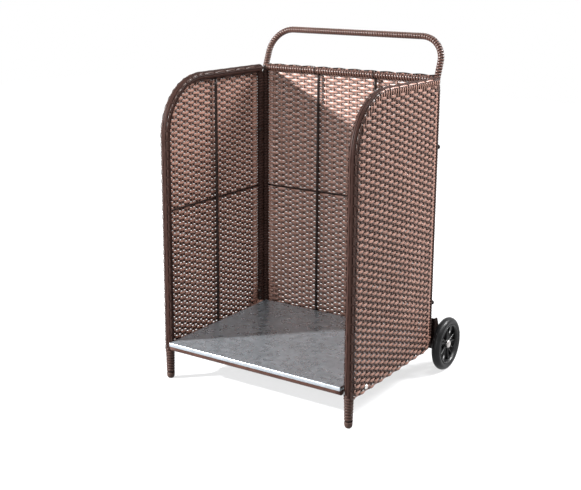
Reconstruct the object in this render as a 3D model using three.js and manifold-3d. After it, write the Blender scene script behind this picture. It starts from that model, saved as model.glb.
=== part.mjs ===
// Fireside log cart: a bin with three woven walls on bent tube frames, a galvanised floor tray,
// two wrapped front legs, two spoked wheels on a rear axle and a strand-wrapped handle loop.
// Millimetres. +X is the cart's right seen from the front, +Y is back, +Z is up.
import * as THREE from 'three';
import { mergeVertices } from 'three/addons/utils/BufferGeometryUtils.js';
import Module from 'manifold-3d';

// ---- Driving dimensions ----

const SEAT_GAP = 0.3; // between pieces that touch
const SIDES = [['left', -1], ['right', 1]];

// Side frames: one bent tube each, with the front upright running down as the leg.
const LEG_SPACING = 570; // between the axes of the two front legs
const SIDE_DEPTH = 428; // front upright axis to rear upright axis
const SIDE_TOP = 820; // top rail axis above the floor
const SIDE_BOTTOM = 88; // bottom rail axis above the floor
const HOOP_TUBE = 16; // tube diameter
const OPEN_CORNER_RADIUS = 146; // bend at the open front top corner
const HOOP_BEND_RADIUS = 26; // the two rear bends
const ROD = 8; // upright stiffening rods
const CROSS_ROD = 5; // level stiffening rods
const CROSS_ROD_HEIGHT = 470;

// Strand binding on the front edges, the legs, the rear top rail and the handle.
const BINDING_RADIUS = 12;
const LEG_WRAP_TOP_RADIUS = 12.4;
const LEG_WRAP_TIP_RADIUS = 11;
const GRIP_WRAP_RADIUS = 9.2;
const TURN_PITCH = 7; // one turn of the wound strand
const TURN_RELIEF = 0.5; // how far a turn swells and dips
const BORE_STATION_TURNS = 5; // turns between the rings of a straight bore

// Woven walls.
const WEAVE_THICKNESS = 4.7;
const WEAVE_EDGE = 4; // strands wrapped over the tubes at a wall's free edges
const WEFT_PITCH = 16.6; // a pair of woven rows
const WEFT_RELIEF = 1.5;

// Back frame: one bent tube runs up both uprights and over as the handle loop.
const BACK_TUBE = 15;
const BACK_INSET = 8; // back uprights inside the planes of the side frames
const BACK_RAIL_HEIGHT = 822;
const BACK_FOOT = 78; // lower end of the back uprights
const BACK_BAYS = 3; // equal bays that the two back rods part the wall into
const HANDLE_LEAN = THREE.MathUtils.degToRad(21.8);
const HANDLE_LENGTH = 117; // knee to grip axis, along the lean
const HANDLE_BEND_RADIUS = 69;
const KNEE_RADIUS = 30;

// Floor: a welded ring of four tubes bolted between the side frames, two bearers and the tray on them.
const RING_TUBE = 24;
const RING_HEIGHT = 97.5;
const RING_OVERHANG = 8; // front bar axis in front of the leg axes
const RING_BACK_CLEARANCE = 1;
const TRAY_SIDE_CLEARANCE = 2; // tray rim to the bindings of the legs
const BEARER_SPACING = 174;
const BEARER_WIDTH = 20;
const BEARER_HEIGHT = 14;
const TRAY_SHEET = 1.2;
const TRAY_LIP = 10.5; // depth of the rim folded down over the ring
const TRAY_CORNER_RADIUS = 2;
const TRAY_FOLD_RADIUS = 1.6;

// Wheels and axle.
const WHEEL_RADIUS = 75;
const TYRE_WIDTH = 25;
const TYRE_CROWN_RADIUS = 15;
const TYRE_CROWN_STEPS = 4;
const RIM_RADIUS = 55;
const RIM_LIP = 5;
const RIM_WIDTH = 20;
const RIM_CROWN = 2; // how far the rim's inside rises to its middle
const SPOKE_PAIRS = 5;
const FIRST_SPOKE_TURN = THREE.MathUtils.degToRad(9); // first pair, up from level
const SPOKE_SPREAD = THREE.MathUtils.degToRad(24); // between the two spokes of a pair, at the rim
const SPOKE_BOW = 0.55; // share of the spread at half length
const SPOKE_WIDTH = 4.5;
const SPOKE_ROOT = 2; // depth of a spoke's ends in the hub and in the rim
const SPOKE_INNER_REACH = 9; // from the wheel's middle plane
const SPOKE_OUTER_REACH = 4.5;
const HUB_RADIUS = 12;
const HUB_SHOULDER = 2;
const HUB_INNER_REACH = 12; // from the wheel's middle plane
const HUB_OUTER_REACH = 5;
const AXLE_DIAMETER = 12;
const AXLE_SETBACK = 46; // axle behind the back frame plane
const AXLE_RUNNING_GAP = 0.1;
const WHEEL_SIDE_CLEARANCE = 3; // wheel to woven wall
const CAP_RADIUS = 11;
const CAP_LENGTH = 7;
const CAP_RIM_LENGTH = 2.8; // straight side of a hub cap
const CAP_SHOULDER_RADIUS = 8.8;
const CAP_SHOULDER_LENGTH = 5.6;
const CAP_TIP_RADIUS = 4.4;
const SPACER_RADIUS = 9;

// Axle brackets: folded plates on the back of the uprights.
const BRACKET_PLATE = 3;
const BRACKET_WIDTH = 30;
const BRACKET_TOP = 153;
const BRACKET_BOTTOM = 64;
const BRACKET_EYE_RADIUS = 15;
const BRACKET_TOP_REACH = 18; // depth of the web at its top
const BRACKET_TOP_ROUND = 6;
const BRACKET_BOLT_HEIGHTS = [118, 142];

// Fasteners.
const BOLT_DIAMETER = 5;
const BOLT_HEAD_RADIUS = 6.5;
const BOLT_HEAD_HEIGHT = 3.6;
const BOLT_HEAD_CROWN_RADIUS = 4.5;
const BOLT_HEAD_RIM = 1.1;
const HOLE_OVERRUN = 1; // how far a hole's cutter passes the bolt's ends
const NUT_RADIUS = 5.6;
const NUT_HEIGHT = 5;
const FLOOR_BOLT_HEIGHT = 91;
const FLOOR_BOLT_FRONT = 61; // behind the leg axis
const FLOOR_BOLT_REAR = 52; // in front of the rear upright's axis
const BACK_BOLT_HEIGHTS = [200, 640];
const REAR_BOLT_SPACING = 300;

// Feet.
const FOOT_CAP_HEIGHT = 15;
const FOOT_CAP_SOLE = 5; // thickness under the tube end
const FOOT_FLAT_RADIUS = 4.5;
const FOOT_SHOULDER_RADIUS = 8.6; // of the rounding under the foot, and its height
const FOOT_SHOULDER_HEIGHT = 2.2;
const FOOT_SIDE_HEIGHT = 7.5; // where the straight side starts

// Facets.
const TUBE_FACETS = 10;
const ROD_FACETS = 8;
const WRAP_FACETS = 8;
const WHEEL_FACETS = 32;
const BOLT_FACETS = 8;
const CURVE_STEPS = 5;
const BEND_STEP = THREE.MathUtils.degToRad(15);

// ---- Derived places ----

const hoopRadius = HOOP_TUBE / 2;
const backRadius = BACK_TUBE / 2;
const ringRadius = RING_TUBE / 2;
const boltRadius = BOLT_DIAMETER / 2;
const axleRadius = AXLE_DIAMETER / 2;
const hoopX = LEG_SPACING / 2;
const weaveInnerX = hoopX + hoopRadius + SEAT_GAP;
const weaveOuterX = weaveInnerX + WEAVE_THICKNESS;
const weaveBottom = SIDE_BOTTOM - hoopRadius - WEAVE_EDGE;
const backY = SIDE_DEPTH + hoopRadius + SEAT_GAP + backRadius;
const backX = hoopX - BACK_INSET;
const backWeaveInnerY = backY + backRadius + SEAT_GAP;
const backWeaveOuterY = backWeaveInnerY + WEAVE_THICKNESS;
const trayMargin = ringRadius + SEAT_GAP + TRAY_SHEET;
const ringX = hoopX - BINDING_RADIUS - TRAY_SIDE_CLEARANCE - trayMargin;
const ringFrontY = -RING_OVERHANG;
const ringRearY = backY - backRadius - RING_BACK_CLEARANCE - ringRadius;
const ringTop = RING_HEIGHT + ringRadius;
const trayTop = ringTop + SEAT_GAP + TRAY_SHEET;
const axleY = backY + AXLE_SETBACK;
const wheelX = weaveOuterX + WHEEL_SIDE_CLEARANCE + TYRE_WIDTH / 2;
const hubOuterX = wheelX + HUB_OUTER_REACH;
const hubInnerX = wheelX - HUB_INNER_REACH;
const gripY = backY + HANDLE_LENGTH * Math.sin(HANDLE_LEAN);
const gripZ = BACK_RAIL_HEIGHT + HANDLE_LENGTH * Math.cos(HANDLE_LEAN);
const bracketY = backWeaveOuterY + SEAT_GAP;
const bracketOuterX = backX + BRACKET_WIDTH / 2;
const crossRodInset = SEAT_GAP + CROSS_ROD / 2; // rod axes in front of a wall's inner face
const rodInset = 2 * SEAT_GAP + CROSS_ROD + ROD / 2;

// ---- Materials ----

function standard(color, roughness, metalness) {
  return new THREE.MeshStandardMaterial({ color, roughness, metalness });
}

const materials = {
  strand: standard('#5d4238', 0.5, 0),
  binding: standard('#46332c', 0.5, 0),
  paintedSteel: standard('#2b211e', 0.45, 0.3),
  ringSteel: standard('#4a342c', 0.4, 0.3),
  galvanised: standard('#9aa5ad', 0.4, 0.9),
  zinc: standard('#b4b6b5', 0.35, 0.95),
  chrome: standard('#d8dadb', 0.12, 1),
  rubber: standard('#2d2e30', 0.7, 0),
  plastic: standard('#18191b', 0.45, 0),
};

// ---- Geometry helpers ----

const wasm = await Module();
wasm.setup();

// Points along straight runs joined by round bends. A corner is [x, y, z, bend radius].
function bentRoute(corners, closed = false) {
  const at = corners.map(([x, y, z]) => new THREE.Vector3(x, y, z));
  const count = corners.length;
  return corners.flatMap((corner, i) => {
    const radius = corner[3] ?? 0;
    const inside = closed || (i > 0 && i < count - 1);
    if (!radius || !inside) return [at[i].clone()];
    const back = at[(i + count - 1) % count].clone().sub(at[i]).normalize();
    const ahead = at[(i + 1) % count].clone().sub(at[i]).normalize();
    const turn = Math.PI - back.angleTo(ahead);
    const start = at[i].clone().addScaledVector(back, radius * Math.tan(turn / 2));
    const middle = back.clone().add(ahead).normalize();
    const centre = at[i].clone().addScaledVector(middle, radius / Math.cos(turn / 2));
    const axis = ahead.clone().cross(back).normalize();
    const steps = Math.max(1, Math.round(turn / BEND_STEP));
    return Array.from({ length: steps + 1 }, (_, step) =>
      start.clone().sub(centre).applyAxisAngle(axis, (turn * step) / steps).add(centre));
  });
}

// Extra points, so that no run of the route is longer than the spacing.
function divided(route, spacing) {
  return route.flatMap((point, i) => {
    if (i === route.length - 1) return [point];
    const next = route[i + 1];
    const parts = Math.max(1, Math.round(point.distanceTo(next) / spacing));
    return Array.from({ length: parts }, (_, k) => point.clone().lerp(next, k / parts));
  });
}

// Rings of points square to a route. radiusAt(distance along the route, angle) gives the surface.
function ringsAlong(route, radiusAt, facets, closed = false) {
  const count = route.length;
  const tangents = route.map((_, i) => {
    const before = closed ? route[(i + count - 1) % count] : route[Math.max(i - 1, 0)];
    const after = closed ? route[(i + 1) % count] : route[Math.min(i + 1, count - 1)];
    return after.clone().sub(before).normalize();
  });
  const reference = Math.abs(tangents[0].x) < 0.9 ? new THREE.Vector3(1, 0, 0) : new THREE.Vector3(0, 0, 1);
  const normal = reference.addScaledVector(tangents[0], -reference.dot(tangents[0])).normalize();
  let distance = 0;
  return route.map((point, i) => {
    if (i > 0) {
      distance += point.distanceTo(route[i - 1]);
      normal.applyQuaternion(new THREE.Quaternion().setFromUnitVectors(tangents[i - 1], tangents[i]));
    }
    const side = tangents[i].clone().cross(normal);
    return Array.from({ length: facets }, (_, k) => {
      const angle = (2 * Math.PI * k) / facets;
      const radius = radiusAt(distance, angle);
      return point.clone()
        .addScaledVector(normal, radius * Math.cos(angle))
        .addScaledVector(side, radius * Math.sin(angle));
    });
  });
}

function signedVolume(positions, index) {
  const corner = (i) => new THREE.Vector3().fromArray(positions, 3 * index[i]);
  let sum = 0;
  for (let i = 0; i < index.length; i += 3) {
    sum += corner(i).dot(corner(i + 1).cross(corner(i + 2))) / 6;
  }
  return sum;
}

// Turns the faces outwards, whichever way the profile was drawn.
function outward(geometry) {
  const index = geometry.index.array;
  if (signedVolume(geometry.attributes.position.array, index) < 0) {
    for (let i = 0; i < index.length; i += 3) [index[i], index[i + 1]] = [index[i + 1], index[i]];
  }
  return geometry;
}

// A closed surface over rings with equal counts. Open rows of rings get flat caps.
function skin(rings, closed = false) {
  const facets = rings[0].length;
  const positions = rings.flat().flatMap((point) => point.toArray());
  const index = [];
  const rows = closed ? rings.length : rings.length - 1;
  for (let row = 0; row < rows; row += 1) {
    for (let k = 0; k < facets; k += 1) {
      const a = row * facets + k;
      const b = row * facets + ((k + 1) % facets);
      const shift = ((row + 1) % rings.length) * facets - row * facets;
      index.push(a, b, b + shift, a, b + shift, a + shift);
    }
  }
  if (!closed) {
    const last = (rings.length - 1) * facets;
    for (let k = 1; k < facets - 1; k += 1) {
      index.push(0, k + 1, k, last, last + k, last + k + 1);
    }
  }
  const geometry = new THREE.BufferGeometry();
  geometry.setAttribute('position', new THREE.Float32BufferAttribute(positions, 3));
  geometry.setIndex(index);
  return outward(geometry);
}

function tube(route, radius, facets = TUBE_FACETS, closed = false) {
  return skin(ringsAlong(route, () => radius, facets, closed), closed);
}

// What a tube of this radius takes out of a piece that meets it.
function seatOf(route, radius, closed = false) {
  return tube(route, (radius + SEAT_GAP) / Math.cos(Math.PI / TUBE_FACETS), TUBE_FACETS, closed);
}

function straight(from, to, radius, facets = ROD_FACETS) {
  return tube([new THREE.Vector3(...from), new THREE.Vector3(...to)], radius, facets);
}

// A sleeve on a tube: a bore that clears the tube, inside a surface of its own.
function sleeve(boreRoute, tubeRadius, outerRoute, outerRadiusAt, facets) {
  const bore = (tubeRadius + SEAT_GAP) / Math.cos(Math.PI / facets);
  const outer = ringsAlong(outerRoute, outerRadiusAt, facets);
  const inner = ringsAlong(boreRoute, () => bore, facets);
  return skin([...outer, ...inner.reverse()], true);
}

// A strand wound round a tube: the surface swells once a turn and the swelling runs round as a helix.
function wound(route, tubeRadius, radiusAt) {
  const surface = (distance, angle) =>
    radiusAt(distance) + TURN_RELIEF * Math.cos(angle - (2 * Math.PI * distance) / TURN_PITCH);
  const outerRoute = divided(route, TURN_PITCH / 2);
  const boreRoute = divided(route, TURN_PITCH * BORE_STATION_TURNS);
  return sleeve(boreRoute, tubeRadius, outerRoute, surface, WRAP_FACETS);
}

function solidOf(geometry) {
  const bare = geometry.clone();
  for (const name of ['normal', 'uv']) bare.deleteAttribute(name);
  const merged = mergeVertices(bare, 1e-4);
  return new wasm.Manifold(new wasm.Mesh({
    numProp: 3,
    vertProperties: new Float32Array(merged.attributes.position.array),
    triVerts: new Uint32Array(merged.index.array),
  }));
}

function geometryOf(solid) {
  const mesh = solid.getMesh();
  const geometry = new THREE.BufferGeometry();
  geometry.setAttribute('position', new THREE.BufferAttribute(new Float32Array(mesh.vertProperties), 3));
  geometry.setIndex(new THREE.BufferAttribute(new Uint32Array(mesh.triVerts), 1));
  return geometry;
}

function joined(...geometries) {
  return geometryOf(geometries.map(solidOf).reduce((whole, piece) => whole.add(piece)));
}

function cut(geometry, ...tools) {
  return geometryOf(tools.map(solidOf).reduce((left, tool) => left.subtract(tool), solidOf(geometry)));
}

function common(geometry, other) {
  return geometryOf(solidOf(geometry).intersect(solidOf(other)));
}

// A flat outline in the YZ plane, given thickness along X from x0 to x1.
function plateAcrossX(shape, x0, x1) {
  const geometry = new THREE.ExtrudeGeometry(shape,
    { depth: x1 - x0, bevelEnabled: false, curveSegments: CURVE_STEPS });
  const toFrame = new THREE.Matrix4().makeBasis(
    new THREE.Vector3(0, 1, 0), new THREE.Vector3(0, 0, 1), new THREE.Vector3(1, 0, 0));
  return geometry.applyMatrix4(toFrame).translate(x0, 0, 0);
}

// A flat outline in the XZ plane, given thickness along Y from y0 to y1.
function plateAcrossY(shape, y0, y1) {
  const geometry = new THREE.ExtrudeGeometry(shape, { depth: y1 - y0, bevelEnabled: false });
  const toFrame = new THREE.Matrix4().makeBasis(
    new THREE.Vector3(1, 0, 0), new THREE.Vector3(0, 0, 1), new THREE.Vector3(0, -1, 0));
  return geometry.applyMatrix4(toFrame).translate(0, y1, 0);
}

// A profile of [radius, distance along the axis] points turned round the X axis.
function turnedAboutX(profile, facets) {
  const points = profile.map(([radius, along]) => new THREE.Vector2(radius, along));
  return outward(new THREE.LatheGeometry(points, facets).rotateZ(-Math.PI / 2));
}

function drill(from, to, radius = boltRadius + SEAT_GAP) {
  return straight(from, to, radius / Math.cos(Math.PI / BOLT_FACETS), BOLT_FACETS);
}

// ---- Routes shared by the pieces ----

function hoopRoute(x) {
  return bentRoute([
    [x, 0, FOOT_CAP_SOLE + SEAT_GAP],
    [x, 0, SIDE_TOP, OPEN_CORNER_RADIUS],
    [x, SIDE_DEPTH, SIDE_TOP, HOOP_BEND_RADIUS],
    [x, SIDE_DEPTH, SIDE_BOTTOM, HOOP_BEND_RADIUS],
    [x, SIDE_DEPTH / 2, SIDE_BOTTOM],
  ]);
}

// The front half of a bottom rail, welded to the leg.
function frontRail(x) {
  return [new THREE.Vector3(x, 0, SIDE_BOTTOM), new THREE.Vector3(x, SIDE_DEPTH / 2, SIDE_BOTTOM)];
}

const gripCorner = (side, bend) => [side * backX, gripY, gripZ, bend];

const backHoopRoute = bentRoute([
  [-backX, backY, BACK_FOOT],
  [-backX, backY, BACK_RAIL_HEIGHT, KNEE_RADIUS],
  gripCorner(-1, HANDLE_BEND_RADIUS),
  gripCorner(1, HANDLE_BEND_RADIUS),
  [backX, backY, BACK_RAIL_HEIGHT, KNEE_RADIUS],
  [backX, backY, BACK_FOOT],
]);

// The floor ring's front or rear bar, and the side bars welded between them.
function ringCrossBar(y) {
  const end = ringX + ringRadius;
  return [new THREE.Vector3(-end, y, RING_HEIGHT), new THREE.Vector3(end, y, RING_HEIGHT)];
}

function ringSideBar(side) {
  return [ringFrontY, ringRearY].map((y) => new THREE.Vector3(side * ringX, y, RING_HEIGHT));
}

// ---- Bolt places: [name, head seat, direction, grip length] ----

const floorBoltDepths = [['front', FLOOR_BOLT_FRONT], ['rear', SIDE_DEPTH - FLOOR_BOLT_REAR]];
const floorBolts = SIDES.flatMap(([name, side]) => floorBoltDepths.map(([end, y]) => ({
  name: `floor_bolt_${end}_${name}`,
  seat: [side * (weaveOuterX + SEAT_GAP), y, FLOOR_BOLT_HEIGHT],
  direction: [-side, 0, 0],
  grip: weaveOuterX - ringX + ringRadius + 2 * SEAT_GAP,
})));

const backBoltX = (hoopX + backX) / 2;
const backBolts = SIDES.flatMap(([name, side]) => BACK_BOLT_HEIGHTS.map((z, i) => ({
  name: `back_bolt_${['lower', 'upper'][i]}_${name}`,
  seat: [side * backBoltX, backWeaveOuterY + SEAT_GAP, z],
  direction: [0, -1, 0],
  grip: backWeaveOuterY - SIDE_DEPTH + hoopRadius + 2 * SEAT_GAP,
})));

const rearBolts = SIDES.map(([name, side]) => ({
  name: `rear_bolt_${name}`,
  seat: [side * REAR_BOLT_SPACING / 2, backWeaveOuterY + SEAT_GAP, FLOOR_BOLT_HEIGHT],
  direction: [0, -1, 0],
  grip: backWeaveOuterY - ringRearY + ringRadius + 2 * SEAT_GAP,
}));

const bracketBolts = SIDES.flatMap(([name, side]) => BRACKET_BOLT_HEIGHTS.map((z, i) => ({
  name: `bracket_bolt_${['lower', 'upper'][i]}_${name}`,
  seat: [side * backBoltX, bracketY + BRACKET_PLATE + SEAT_GAP, z],
  direction: [0, -1, 0],
  grip: bracketY + BRACKET_PLATE - SIDE_DEPTH + hoopRadius + 2 * SEAT_GAP,
})));

const bolts = [...floorBolts, ...backBolts, ...rearBolts, ...bracketBolts];

function boltHole({ seat, direction, grip }) {
  const along = (distance) => seat.map((value, i) => value + direction[i] * distance);
  return drill(along(-HOLE_OVERRUN), along(grip + HOLE_OVERRUN));
}

function boltWithNut({ seat, direction, grip }) {
  const geometry = turnedAboutX([
    [0, -BOLT_HEAD_HEIGHT],
    [BOLT_HEAD_CROWN_RADIUS, -BOLT_HEAD_HEIGHT],
    [BOLT_HEAD_RADIUS, -BOLT_HEAD_RIM],
    [BOLT_HEAD_RADIUS, 0],
    [boltRadius, 0],
    [boltRadius, grip],
    [NUT_RADIUS, grip],
    [NUT_RADIUS, grip + NUT_HEIGHT],
    [0, grip + NUT_HEIGHT],
  ], BOLT_FACETS);
  const turn = new THREE.Quaternion().setFromUnitVectors(
    new THREE.Vector3(1, 0, 0), new THREE.Vector3(...direction));
  return geometry.applyQuaternion(turn).translate(...seat);
}

// ---- Pieces ----

const group = new THREE.Group();

function add(name, geometry, material) {
  geometry.computeVertexNormals();
  const mesh = new THREE.Mesh(geometry, material);
  mesh.name = name;
  group.add(mesh);
}

function onSide(side) {
  return (bolt) => bolt.seat[0] * side > 0;
}

function addSideFrame(name, side) {
  const x = side * hoopX;
  const route = hoopRoute(x);
  const holes = [...floorBolts, ...backBolts, ...bracketBolts].filter(onSide(side)).map(boltHole);
  add(`side_hoop_${name}`,
    cut(joined(tube(route, hoopRadius), tube(frontRail(x), hoopRadius)), ...holes),
    materials.paintedSteel);

  const seats = [
    seatOf(route, hoopRadius),
    seatOf(frontRail(x), hoopRadius),
    seatOf(bindingRoute(x), BINDING_RADIUS),
  ];
  const rodX = side * (weaveInnerX - rodInset);
  const middle = SIDE_DEPTH / 2;
  add(`side_rod_${name}`,
    cut(straight([rodX, middle, SIDE_BOTTOM], [rodX, middle, SIDE_TOP], ROD / 2), ...seats),
    materials.paintedSteel);

  const crossX = side * (weaveInnerX - crossRodInset);
  const [front, rear] = [0, SIDE_DEPTH].map((y) => [crossX, y, CROSS_ROD_HEIGHT]);
  add(`side_cross_rod_${name}`, cut(straight(front, rear, CROSS_ROD / 2), ...seats), materials.paintedSteel);
}

// The bound stretch of a side frame: front upright above the bottom rail, open corner and top rail.
function bindingRoute(x) {
  return bentRoute([
    [x, 0, weaveBottom + SEAT_GAP],
    [x, 0, SIDE_TOP, OPEN_CORNER_RADIUS],
    [x, SIDE_DEPTH - HOOP_BEND_RADIUS, SIDE_TOP],
  ]);
}

function addBindings(name, side) {
  const x = side * hoopX;
  const route = bindingRoute(x);
  add(`front_binding_${name}`,
    cut(sleeve(route, hoopRadius, route, () => BINDING_RADIUS, TUBE_FACETS),
      seatOf(frontRail(x), hoopRadius)),
    materials.binding);

  const tip = FOOT_CAP_HEIGHT + SEAT_GAP;
  const length = weaveBottom - tip;
  const taper = LEG_WRAP_TOP_RADIUS - LEG_WRAP_TIP_RADIUS;
  const leg = bentRoute([[x, 0, tip], [x, 0, weaveBottom]]);
  add(`leg_wrap_${name}`,
    wound(leg, hoopRadius, (distance) => LEG_WRAP_TIP_RADIUS + (taper * distance) / length),
    materials.binding);
}

function addFootCap(name, side) {
  const bore = (hoopRadius + SEAT_GAP) / Math.cos(Math.PI / TUBE_FACETS);
  const profile = [
    [0, 0],
    [FOOT_FLAT_RADIUS, 0],
    [FOOT_SHOULDER_RADIUS, FOOT_SHOULDER_HEIGHT],
    [LEG_WRAP_TIP_RADIUS, FOOT_SIDE_HEIGHT],
    [LEG_WRAP_TIP_RADIUS, FOOT_CAP_HEIGHT],
    [bore, FOOT_CAP_HEIGHT],
    [bore, FOOT_CAP_SOLE],
    [0, FOOT_CAP_SOLE],
  ];
  const points = profile.map(([radius, z]) => new THREE.Vector2(radius, z));
  add(`foot_cap_${name}`,
    new THREE.LatheGeometry(points, TUBE_FACETS).rotateX(Math.PI / 2).translate(side * hoopX, 0, 0),
    materials.plastic);
}

// Wavy section of a woven wall: one swell on both faces for each pair of rows.
function weaveSection(inner, outer, bottom, top) {
  const rows = Math.round((top - bottom) / WEFT_PITCH);
  const dip = Math.sign(outer - inner) * WEFT_RELIEF;
  const face = (base, relief) => Array.from({ length: 2 * rows + 1 }, (_, i) =>
    new THREE.Vector2(base + (i % 2 ? 0 : relief), bottom + ((top - bottom) * i) / (2 * rows)));
  return new THREE.Shape([...face(outer, -dip), ...face(inner, dip).reverse()]);
}

// How far from a bound tube's axis a wall starts, where its inner face passes the binding.
function weaveStart(bindingRadius, wallOffset) {
  return Math.sqrt(bindingRadius ** 2 - wallOffset ** 2) + SEAT_GAP;
}

function addSideWeave(name, side) {
  const start = weaveStart(BINDING_RADIUS, weaveInnerX - hoopX);
  const top = SIDE_TOP - start;
  const rear = SIDE_DEPTH + hoopRadius + WEAVE_EDGE;
  const outline = bentRoute([
    [0, start, weaveBottom],
    [0, start, top, OPEN_CORNER_RADIUS - start],
    [0, rear, top, HOOP_BEND_RADIUS - start],
    [0, rear, weaveBottom, HOOP_BEND_RADIUS + hoopRadius + WEAVE_EDGE],
  ], true).map(({ y, z }) => new THREE.Vector2(y, z));
  const section = weaveSection(side * weaveInnerX, side * weaveOuterX, weaveBottom, top);
  const faces = [side * weaveInnerX, side * weaveOuterX].sort((a, b) => a - b);
  const holes = floorBolts.filter(onSide(side)).map(boltHole);
  const wall = common(plateAcrossY(section, 0, rear), plateAcrossX(new THREE.Shape(outline), ...faces));
  add(`side_weave_${name}`, cut(wall, ...holes), materials.strand);
}

// A cross tube of the back frame, its ends fitted round the uprights.
function backRail(z) {
  const end = backX - backRadius / 2;
  return [new THREE.Vector3(-end, backY, z), new THREE.Vector3(end, backY, z)];
}

function addBackFrame() {
  const uprightSeat = seatOf(backHoopRoute, backRadius);
  const railOf = (z, ...holes) => cut(tube(backRail(z), backRadius), uprightSeat, ...holes);
  add('back_hoop', cut(tube(backHoopRoute, backRadius), ...[...backBolts, ...bracketBolts].map(boltHole)),
    materials.paintedSteel);
  add('back_top_rail', railOf(BACK_RAIL_HEIGHT), materials.paintedSteel);
  add('back_bottom_rail', railOf(SIDE_BOTTOM, ...rearBolts.map(boltHole)), materials.paintedSteel);

  const rodY = backWeaveInnerY - rodInset;
  const seats = [
    seatOf(backRail(SIDE_BOTTOM), backRadius),
    seatOf(backRail(BACK_RAIL_HEIGHT), GRIP_WRAP_RADIUS),
  ];
  for (const [name, side] of SIDES) {
    const x = (side * backX) / BACK_BAYS;
    add(`back_rod_${name}`,
      cut(straight([x, rodY, SIDE_BOTTOM], [x, rodY, BACK_RAIL_HEIGHT], ROD / 2), ...seats),
      materials.paintedSteel);
  }
  const crossY = backWeaveInnerY - crossRodInset;
  const [left, right] = [-backX, backX].map((x) => [x, crossY, CROSS_ROD_HEIGHT]);
  add('back_cross_rod', cut(straight(left, right, CROSS_ROD / 2), uprightSeat), materials.paintedSteel);
}

function addGripWraps() {
  const kneeEnd = KNEE_RADIUS * Math.tan(HANDLE_LEAN / 2) + GRIP_WRAP_RADIUS;
  const start = (side) => [
    side * backX,
    backY + kneeEnd * Math.sin(HANDLE_LEAN),
    BACK_RAIL_HEIGHT + kneeEnd * Math.cos(HANDLE_LEAN),
  ];
  const loop = bentRoute([
    start(-1), gripCorner(-1, HANDLE_BEND_RADIUS), gripCorner(1, HANDLE_BEND_RADIUS), start(1),
  ]);
  add('handle_wrap', wound(loop, backRadius, () => GRIP_WRAP_RADIUS), materials.strand);

  const rail = backRail(BACK_RAIL_HEIGHT);
  const railSleeve = sleeve(rail, backRadius, rail, () => GRIP_WRAP_RADIUS, TUBE_FACETS);
  add('rail_wrap', cut(railSleeve, seatOf(backHoopRoute, backRadius)), materials.strand);
}

function addBackWeave() {
  const edge = backX + backRadius + WEAVE_EDGE / 2;
  const top = BACK_RAIL_HEIGHT - weaveStart(GRIP_WRAP_RADIUS, backWeaveInnerY - backY);
  const section = weaveSection(backWeaveInnerY, backWeaveOuterY, weaveBottom, top);
  const holes = [...backBolts, ...rearBolts, ...bracketBolts].map(boltHole);
  add('back_weave', cut(plateAcrossX(section, -edge, edge), ...holes), materials.strand);
}

function addFloor() {
  const crossBars = [ringFrontY, ringRearY].map(ringCrossBar);
  const sideBars = SIDES.map(([, side]) => ringSideBar(side));
  const ringTubes = [...crossBars, ...sideBars].map((route) => tube(route, ringRadius));
  const ringSeats = crossBars.map((route) => seatOf(route, ringRadius));
  const holes = [...floorBolts, ...rearBolts].map(boltHole);
  add('base_ring', cut(joined(...ringTubes), ...holes), materials.ringSteel);

  for (const bolt of floorBolts) {
    const side = Math.sign(bolt.seat[0]);
    const geometry = bush(side, boltRadius, SPACER_RADIUS,
      ringX + ringRadius + SEAT_GAP, hoopX - hoopRadius - SEAT_GAP);
    geometry.translate(0, bolt.seat[1], bolt.seat[2]);
    add(bolt.name.replace('bolt', 'spacer'), geometry, materials.plastic);
  }

  for (const [name, side] of SIDES) {
    const bar = new THREE.BoxGeometry(BEARER_WIDTH, ringRearY - ringFrontY, BEARER_HEIGHT);
    bar.translate((side * BEARER_SPACING) / 2, (ringRearY + ringFrontY) / 2, ringTop - BEARER_HEIGHT / 2);
    add(`tray_bearer_${name}`, cut(bar, ...ringSeats), materials.ringSteel);
  }

  const outline = (inset, z) => bentRoute([
    [-ringX - trayMargin + inset, ringFrontY - trayMargin + inset, z, TRAY_CORNER_RADIUS - inset],
    [ringX + trayMargin - inset, ringFrontY - trayMargin + inset, z, TRAY_CORNER_RADIUS - inset],
    [ringX + trayMargin - inset, ringRearY + trayMargin - inset, z, TRAY_CORNER_RADIUS - inset],
    [-ringX - trayMargin + inset, ringRearY + trayMargin - inset, z, TRAY_CORNER_RADIUS - inset],
  ], true);
  const foldMiddle = TRAY_FOLD_RADIUS * (1 - Math.SQRT1_2);
  add('floor_tray', skin([
    outline(TRAY_SHEET, trayTop - TRAY_SHEET),
    outline(TRAY_SHEET, trayTop - TRAY_LIP),
    outline(0, trayTop - TRAY_LIP),
    outline(0, trayTop - TRAY_FOLD_RADIUS),
    outline(foldMiddle, trayTop - foldMiddle),
    outline(TRAY_FOLD_RADIUS, trayTop),
  ]), materials.galvanised);
}

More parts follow.
